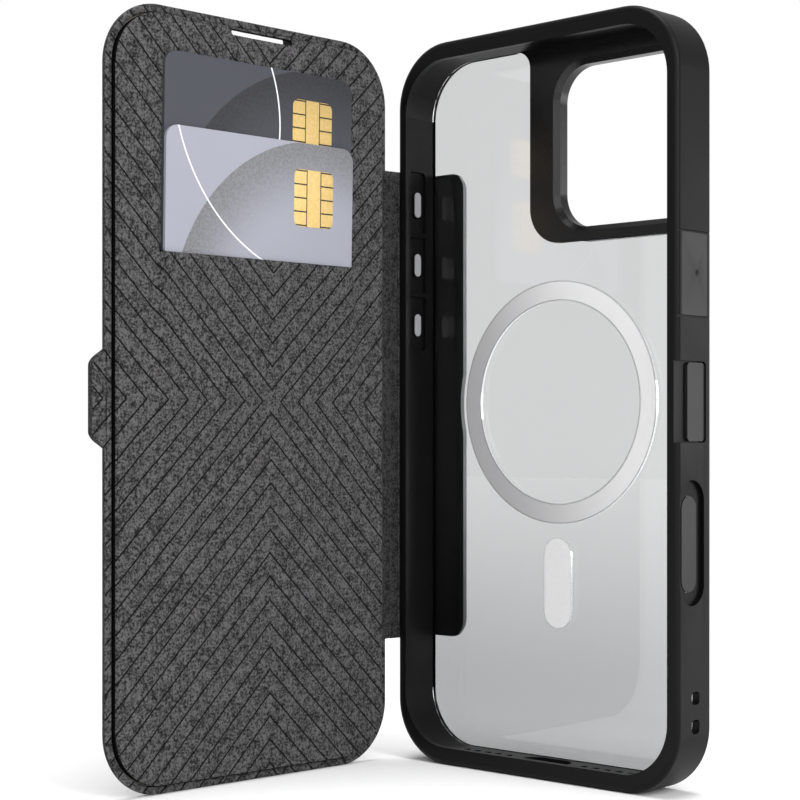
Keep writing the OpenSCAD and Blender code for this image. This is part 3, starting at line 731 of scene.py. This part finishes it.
def build_inner_fabric():
    outline = with_neck(fabric_outline(FABRIC_INSET))
    slit = [(CARD_MID_Y - SLIT_HALF, MOUTH_Z)]
    steps = 90
    for n in range(1, steps):
        slit.append((CARD_MID_Y - SLIT_HALF + 2 * SLIT_HALF * n / steps, MOUTH_Z - SLIT_OPEN / 2))
    slit.append((CARD_MID_Y + SLIT_HALF, MOUTH_Z))
    for n in range(steps - 1, 0, -1):
        slit.append((CARD_MID_Y - SLIT_HALF + 2 * SLIT_HALF * n / steps, MOUTH_Z + SLIT_OPEN / 2))
    pitch = PITCH / 8
    ys = PATTERN_MID_Y + pitch * np.arange(-76, 76)
    zs = PATTERN_MID_Z + pitch * np.arange(-132, 133)
    grid = np.array([(y, z) for y in ys for z in zs])
    inside = (sheet_distance(grid) > 0.6 * MM) & (grid[:, 0] < NECK_Y1 - 0.3 * MM)
    near_slit = (np.abs(grid[:, 1] - MOUTH_Z) < 0.25 * MM) & (
        np.abs(grid[:, 0] - CARD_MID_Y) < SLIT_HALF)
    near_slot = slot_distance(grid, LINING_SLOT_H) < 0.25 * MM
    points = [tuple(p) for p in grid[inside & ~near_slit & ~near_slot]]
    for step in (0.04, 0.12, 0.22, 0.34):
        ring = np.array(fabric_outline(FABRIC_INSET + step * MM))
        clear = (neck_distance(ring) < -1.5 * MM) & (slot_distance(ring, LINING_SLOT_H) > 0.1 * MM)
        points += [tuple(p) for p in ring[clear]]
    for side in (-1, 1):
        for gap in (0.0, 0.35, 0.7, 1.1, 1.5):
            for n in range(44):
                points.append((CARD_MID_Y + side * (CARD_HALF + gap * MM),
                               MOUTH_Z - (n * 1.3 + 0.3) * MM))

    def keep(c):
        in_outline = (edge_distance(c, FABRIC_INSET) > -1e-6) | (c[:, 0] > COVER_Y1 - FABRIC_INSET)
        in_slit = (np.abs(c[:, 1] - MOUTH_Z) < SLIT_OPEN * 0.45) & (
            np.abs(c[:, 0] - CARD_MID_Y) < SLIT_HALF - 0.3 * MM)
        return in_outline & in_neck_outline(c) & ~in_slit & (slot_distance(c, LINING_SLOT_H) > 0)

    flat, tris = triangulate([outline, slit, slot_loop(LINING_SLOT_H)], points, keep)
    verts, faces = sheet_solid(flat, tris, fabric_front, fabric_back, on_cover)
    piece = make_piece("inner_fabric", verts, faces, FABRIC_PLAIN, "cover", "fabric",
                       "cover_lining", "pocket_panel")
    # The pad's sides take the near-black felt, painted shade.
    face_inwards(piece, FABRIC, PAD_SHADE_EDGE)
    # The neck takes the darker felt, painted shade.
    piece.data.materials.append(FABRIC_SHADE_NECK)
    for polygon in piece.data.polygons:
        if polygon.center.y > COVER_Y1 - FABRIC_INSET:
            polygon.material_index = 3
    swing_piece(piece)
    return piece


def in_neck_outline(c):
    """False for what lies beyond the neck's fillets, outside the pad."""
    r = NECK_FILLET
    edge = COVER_Y1 - FABRIC_INSET
    beyond = np.maximum(crease_lo.z - c[:, 1], c[:, 1] - crease_hi.z)
    from_centre = np.hypot(c[:, 0] - (edge + r), beyond - r)
    in_fillet = (beyond < r) & (c[:, 0] < edge + r) & (from_centre > r)
    return (c[:, 0] < edge + 1e-7) | (beyond < 0) | in_fillet


def swing_piece(piece):
    """Turns a piece that was built square to the case into its place on the cover."""
    mesh = piece.data
    points = np.empty(len(mesh.vertices) * 3)
    mesh.vertices.foreach_get("co", points)
    mesh.vertices.foreach_set("co", swung(points.reshape(-1, 3), -SWING).ravel())
    mesh.update()


inner_fabric = build_inner_fabric()

# ---- Outer skin of the cover, turned round the edge to a flat rim ----

OUTER_ROUND = 1.5 * MM
LIP_ROUND = 0.2 * MM
TRAY_FLOOR = 0.5 * MM
HOLE_SHRINK = 0.03 * MM


def skin_section():
    """Inset from the outline and height over the outer face, from that face to the tray's floor."""
    rim_h = RIM_X - OUTER_X
    section = []
    for n in range(9):
        a = math.radians(90 * n / 8)
        section.append((OUTER_ROUND * (1 - math.sin(a)), OUTER_ROUND * (1 - math.cos(a))))
    for n in range(5):
        a = math.radians(90 * n / 4)
        section.append((LIP_ROUND * (1 - math.cos(a)), rim_h - LIP_ROUND * (1 - math.sin(a))))
    section += [(0.7 * MM, rim_h), (1.2 * MM, rim_h), (RIM_W - 0.08 * MM, rim_h)]
    section += [(RIM_W, rim_h - 0.08 * MM), (RIM_W, TRAY_FLOOR)]
    return section


def build_outer_skin():
    corner_steps, side_steps = 22, 44
    section = skin_section()
    hole = slot_loop(BODY_SLOT_H, HOLE_SHRINK)
    verts, faces = [], []
    for inset, height in section:
        ring = fabric_outline(inset, corner_steps, side_steps)
        verts += [(OUTER_X + height, y, z) for y, z in ring]
    count = len(ring)
    for level in range(len(section) - 1):
        for n in range(count):
            m = (n + 1) % count
            a, b = level * count, (level + 1) * count
            faces.append((a + n, a + m, b + m, b + n))

    def cap(inset, x, flip):
        spots = np.array([(y, z) for y in np.arange(COVER_Y0, COVER_Y1, 4 * MM)
                          for z in np.arange(0, COVER_Z, 4 * MM)])
        clear = (edge_distance(spots, inset) > 2 * MM) & (
            slot_distance(spots, BODY_SLOT_H) > 1 * MM)

        def keep(c):
            in_hole = rounded_distance(c, (SLOT_MID_Y, SLOT_Z0 + BODY_SLOT_H / 2),
                                       SLOT_W - 2 * HOLE_SHRINK, BODY_SLOT_H - 2 * HOLE_SHRINK,
                                       SLOT_R - HOLE_SHRINK) < 0
            return (edge_distance(c, inset) > -1e-6) & ~in_hole

        ring = fabric_outline(inset, corner_steps, side_steps)
        flat, tris = triangulate([ring, hole], [tuple(p) for p in spots[clear]], keep)
        base = len(verts)
        verts.extend((x, p[0], p[1]) for p in flat)
        faces.extend(tuple(base + i for i in (t[::-1] if flip else t)) for t in tris)

    cap(section[0][0], OUTER_X, True)
    cap(section[-1][0], OUTER_X + TRAY_FLOOR, False)
    base = len(verts)
    for x in (OUTER_X, INNER_X - FABRIC_T - 0.05 * MM):
        verts.extend((x, y, z) for y, z in hole)
    for n in range(len(hole)):
        m = (n + 1) % len(hole)
        faces.append((base + n, base + m, base + len(hole) + m, base + len(hole) + n))
    piece = make_piece("outer_skin", verts, faces, FABRIC_PLAIN, "cover", "skin", "cover_skin")
    built = bmesh.new()
    built.from_mesh(piece.data)
    bmesh.ops.remove_doubles(built, verts=built.verts, dist=0.002 * MM)
    bmesh.ops.recalc_face_normals(built, faces=built.faces)
    built.to_mesh(piece.data)
    built.free()
    face_skin(piece)
    swing_piece(piece)
    return piece


build_outer_skin()

# ---- Finger tab ----

TAB_MID_Z = (tab_lo.z + tab_hi.z) / 2
TAB_REACH = COVER_Y0 - tab_lo.y
TAB_FLAT = 7.0 * MM
TAB_ROOT = 11.6 * MM
TAB_SUNK = 0.25 * MM
TAB_THIN = 0.5 * MM


def tab_reach_at(off):
    """How far the tab stands out at a height off its middle, as a smooth S."""
    t = min(1.0, max(0.0, (TAB_ROOT - abs(off)) / (TAB_ROOT - TAB_FLAT)))
    return t * t * (3 - 2 * t) * (TAB_REACH + TAB_SUNK) - TAB_SUNK


def build_tab():
    """Stations up the cover's edge, each a rounded section from inside the rim outwards."""
    root_y = COVER_Y0 + 0.8 * MM
    x1 = tab_hi.x
    thick = x1 - tab_lo.x + 0.2 * MM
    steps = 56
    rings = []
    for n in range(steps + 1):
        off = -TAB_ROOT + 2 * TAB_ROOT * n / steps
        reach = tab_reach_at(off)
        tip_y = COVER_Y0 - reach
        full = min(1.0, max(0.0, reach / (0.6 * TAB_REACH)))
        x0 = x1 - TAB_THIN - (thick - TAB_THIN) * full
        section = rounded_loop(((x0 + x1) / 2, (root_y + tip_y) / 2), x1 - x0, root_y - tip_y,
                               0.2 * MM, 4, 8)
        rings.append([(x, y, TAB_MID_Z + off) for x, y in section])
    verts = [v for ring in rings for v in ring]
    count = len(rings[0])
    faces = []
    for level in range(steps):
        for n in range(count):
            m = (n + 1) % count
            a, b = level * count, (level + 1) * count
            faces.append((a + n, a + m, b + m, b + n))
    faces.append(tuple(range(count)))
    faces.append(tuple(steps * count + n for n in range(count))[::-1])
    piece = make_piece("finger_tab", verts, faces, FABRIC_PLAIN, "cover", "skin", "closure_tab")
    face_skin(piece)
    smooth_by_angle(piece, 50)
    swing_piece(piece)
    return piece


build_tab()

# ---- Spine, creases and back flap ----


def strip_solid(section, z0, z1, z_steps, flare=None):
    """A closed section in X and Y carried up Z; flare(y) widens it at both ends."""
    verts, faces = [], []
    count = len(section)
    for level in range(z_steps + 1):
        t = level / z_steps
        for x, y in section:
            grow = flare(y) if flare else 0.0
            low, high = z0 - grow, z1 + grow
            verts.append((x, y, low + (high - low) * t))
    for level in range(z_steps):
        for n in range(count):
            m = (n + 1) % count
            a, b = level * count, (level + 1) * count
            faces.append((a + n, a + m, b + m, b + n))
    faces.append(tuple(range(count))[::-1])
    faces.append(tuple(z_steps * count + n for n in range(count)))
    return verts, faces


def rounded_section(x0, x1, y0, y1, r, steps=4, y_steps=14):
    """A thin rounded rectangle in X and Y, finely divided along Y."""
    points = [(x0 + r, y0), (x1 - r, y0)]
    points += [(x1 - r + r * math.sin(a), y0 + r - r * math.cos(a)) for a in
               (math.radians(90 * n / steps) for n in range(1, steps + 1))]
    points += [(x1, y0 + r + (y1 - y0 - 2 * r) * n / y_steps) for n in range(1, y_steps)]
    points += [(x1 - r + r * math.cos(a), y1 - r + r * math.sin(a)) for a in
               (math.radians(90 * n / steps) for n in range(steps + 1))]
    points += [(x0 + r - r * math.sin(a), y1 - r + r * math.cos(a)) for a in
               (math.radians(90 * n / steps) for n in range(steps + 1))]
    points += [(x0, y1 - r - (y1 - y0 - 2 * r) * n / y_steps) for n in range(1, y_steps)]
    points += [(x0 + r - r * math.cos(a), y0 + r - r * math.sin(a)) for a in
               (math.radians(90 * n / steps) for n in range(steps))]
    return points


def build_spine():
    section = rounded_section(spine_lo.x, lining_hi.x, spine_lo.y - 0.2 * MM,
                              spine_hi.y + 0.2 * MM, 0.35 * MM)
    verts, faces = strip_solid(section, spine_lo.z, spine_hi.z, 60)
    return make_piece("spine_wrap", verts, faces, FABRIC_PLAIN, "spine", "skin", "spine_skin",
                      "spine_lining")


def build_front_crease():
    """The fabric's fold from the neck to the spine, level with the pad."""
    section = rounded_section(crease_lo.x - 0.4 * MM, INNER_X, NECK_Y1 - 0.05 * MM,
                              spine_lo.y + 0.6 * MM, 0.12 * MM)
    verts, faces = strip_solid(section, crease_lo.z, crease_hi.z, 60)
    # The fold takes the neck's darker felt, painted shade.
    piece = make_piece("front_crease_fold", verts, faces, FABRIC_SHADE_NECK, None, "skin", "front_crease")
    swing_piece(piece)
    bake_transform(piece)
    return piece


def build_back_crease():
    """A quarter turn of sheet from the flap round the corner to the spine."""
    centre = (back_hi.x, back_lo.y)
    outer = back_hi.x - back_lo.x
    inner = outer - 0.7 * MM
    steps = 12
    tail = 0.8 * MM
    angles = [math.radians(90 * n / steps) for n in range(steps + 1)]
    section = [(centre[0] + tail, centre[1] + outer)]
    section += [(centre[0] - outer * math.sin(a), centre[1] + outer * math.cos(a)) for a in angles]
    section += [(centre[0] - outer, centre[1] - tail), (centre[0] - inner, centre[1] - tail)]
    section += [(centre[0] - inner * math.sin(a), centre[1] + inner * math.cos(a))
                for a in angles[::-1]]
    section += [(centre[0] + tail, centre[1] + inner)]
    verts, faces = strip_solid(section, back_lo.z, back_hi.z, 60)
    piece = make_piece("back_crease_fold", verts, faces, FABRIC_PLAIN, None, "skin", "back_crease")
    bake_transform(piece)
    return piece


def flap_outline(reach=0.0, short=0.0):
    """Outline in X and Z of the flap, or of the film that reaches past its side."""
    r = FLAP_R
    x0, x1, z0, z1 = flap_lo.x, flap_hi.x + reach, flap_lo.z + short, flap_hi.z - short
    notch_r = FLAP_NOTCH_R - reach
    half_chord = math.sqrt(notch_r**2 - (RING_MID[0] - x1) ** 2)
    points = [(x0, z0 + (z1 - z0) * n / 60) for n in range(60, 0, -1)]
    points += [(x0, z0), (x0 + (x1 - r - x0) / 2, z0)]
    points += arc(x1 - r, z0 + r, r, 270, 360, 10)
    notch = math.asin(half_chord / notch_r)
    points += [(RING_MID[0] - notch_r * math.cos(a), RING_MID[1] + notch_r * math.sin(a))
               for a in np.linspace(-notch, notch, 17)]
    points += arc(x1 - r, z1 - r, r, 0, 90, 10)
    points += [(x0 + (x1 - r - x0) / 2, z1)]
    return points


def build_bond():
    """The adhesive film, a hair behind the panel and nearly as tall as the flap."""
    outline = flap_outline(bond_hi.x - flap_hi.x, BOND_SHORT)
    count = len(outline)
    start = max(bond_lo.x, flap_lo.x)
    verts = [(max(x, start), y, z) for y in (bond_lo.y + BOND_GAP, bond_hi.y) for x, z in outline]
    faces = [tuple(range(count)), tuple(range(count, 2 * count))[::-1]]
    faces += [(n, (n + 1) % count, count + (n + 1) % count, count + n) for n in range(count)]
    piece = make_piece("flap_bond", verts, faces, ADHESIVE, "case", "adhesive", "flap_adhesive")
    smooth_by_angle(piece, 30)


def build_flap():
    outline = flap_outline()
    count = len(outline)
    mid_y = (flap_lo.y + flap_hi.y) / 2
    built = bmesh.new()
    made = [built.verts.new((x, y, z)) for y in (flap_lo.y, flap_hi.y) for x, z in outline]
    built.faces.new(made[:count])
    built.faces.new(made[count:][::-1])
    for n in range(count):
        m = (n + 1) % count
        built.faces.new((made[n], made[m], made[count + m], made[count + n]))
    rims = [e for e in built.edges if min(v.co.y for v in e.verts) > mid_y
            and max(v.co.x for v in e.verts) > flap_lo.x + 0.1 * MM]
    bmesh.ops.bevel(built, geom=rims, offset=0.3 * MM, segments=3, profile=0.5, affect="EDGES")
    bmesh.ops.recalc_face_normals(built, faces=built.faces)
    mesh = bpy.data.meshes.new("flap_sheet")
    built.to_mesh(mesh)
    built.free()
    mesh.materials.append(FABRIC_PLAIN)
    piece = bpy.data.objects.new("flap_sheet", mesh)
    bpy.context.scene.collection.objects.link(piece)
    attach(piece, "case")
    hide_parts("back_flap")
    for polygon in mesh.polygons:
        polygon.use_smooth = True
    smooth_by_angle(piece, 30)
    return piece


build_spine()
build_front_crease()
build_back_crease()
build_flap()
build_bond()

# ---- Stage, light and camera ----

SUN_WATTS = 2.3
SKY = (0.42, 1.0, 0.6)


def build_stage():
    g = Graph("pale_floor")
    size = 3.0
    mesh = bpy.data.meshes.new("floor")
    corners = [(-size, -size, 0), (size, -size, 0), (size, size, 0), (-size, size, 0)]
    mesh.from_pydata(corners, [], [(0, 1, 2, 3)])
    pale = (0.90, 0.90, 0.90, 1.0)
    mesh.materials.append(g.set(Base_Color=pale, Roughness=0.9, Specular_IOR_Level=0.0).mat)
    floor = bpy.data.objects.new("floor", mesh)
    bpy.context.scene.collection.objects.link(floor)


def soft_light(name, place, target, size, watts):
    data = bpy.data.lights.new(name, "AREA")
    data.shape = "RECTANGLE"
    data.size, data.size_y = size
    data.energy = watts
    light = bpy.data.objects.new(name, data)
    light.location = place
    light.rotation_euler = (Vector(target) - Vector(place)).to_track_quat("-Z", "Y").to_euler()
    bpy.context.scene.collection.objects.link(light)


def build_sun():
    """Wide soft light from straight above, which keeps the floor white."""
    data = bpy.data.lights.new("overhead", "SUN")
    data.energy = SUN_WATTS
    data.angle = math.radians(40)
    light = bpy.data.objects.new("overhead", data)
    bpy.context.scene.collection.objects.link(light)


def build_world():
    """A white room, which lights the case more softly than it looks."""
    world = bpy.data.worlds.new("studio")
    world.use_nodes = True
    tree = world.node_tree
    ray = tree.nodes.new("ShaderNodeLightPath")

    def pick(flag, low, high):
        made = tree.nodes.new("ShaderNodeMapRange")
        tree.links.new(flag, made.inputs[0])
        for index, value in ((3, low), (4, high)):
            if isinstance(value, float):
                made.inputs[index].default_value = value
            else:
                tree.links.new(value, made.inputs[index])
        return made.outputs[0]

    lit = pick(ray.outputs["Is Glossy Ray"], SKY[0], SKY[2])
    seen = pick(ray.outputs["Is Transmission Ray"], lit, SKY[1])
    seen = pick(ray.outputs["Is Camera Ray"], seen, SKY[1])
    background = tree.nodes["Background"]
    background.inputs[0].default_value = (1, 1, 1, 1)
    tree.links.new(seen, background.inputs[1])
    bpy.context.scene.world = world


build_stage()
build_sun()
build_world()
middle = (cad_box[0] + cad_box[1]) / 2
soft_light("side", (0.70, -0.12, 0.45), (frame_hi.x, frame_lo.y, 0.10), (0.25, 0.5), 3.6)
soft_light("wall", (0.60, 0.65, 0.12), (frame_hi.x, frame_lo.y, 0.09), (0.3, 0.3), 1.0)
soft_light("front", (0.45, -0.50, 0.40), (FOLD_X, middle.y, 0.09), (0.5, 0.5), 1.6)
bpy.context.scene.view_settings.view_transform = "Standard"

# The camera is placed from the bumper's front left corner, level with the case's lower half
CAMERA_FROM_CORNER = (310.2 * MM, -324.1 * MM, 75.0 * MM)
CAMERA_TURN = 43.67
camera_data = bpy.data.cameras.new("camera")
camera_data.lens = 84.3
camera_data.sensor_width = 36.0
camera_data.shift_y = 0.0557
camera_data.clip_start = 0.01
camera = bpy.data.objects.new("camera", camera_data)
camera.location = Vector((frame_lo.x, frame_lo.y, 0)) + Vector(CAMERA_FROM_CORNER)
camera.rotation_euler = (math.radians(90), 0, math.radians(CAMERA_TURN))
bpy.context.scene.collection.objects.link(camera)
bpy.context.scene.camera = camera
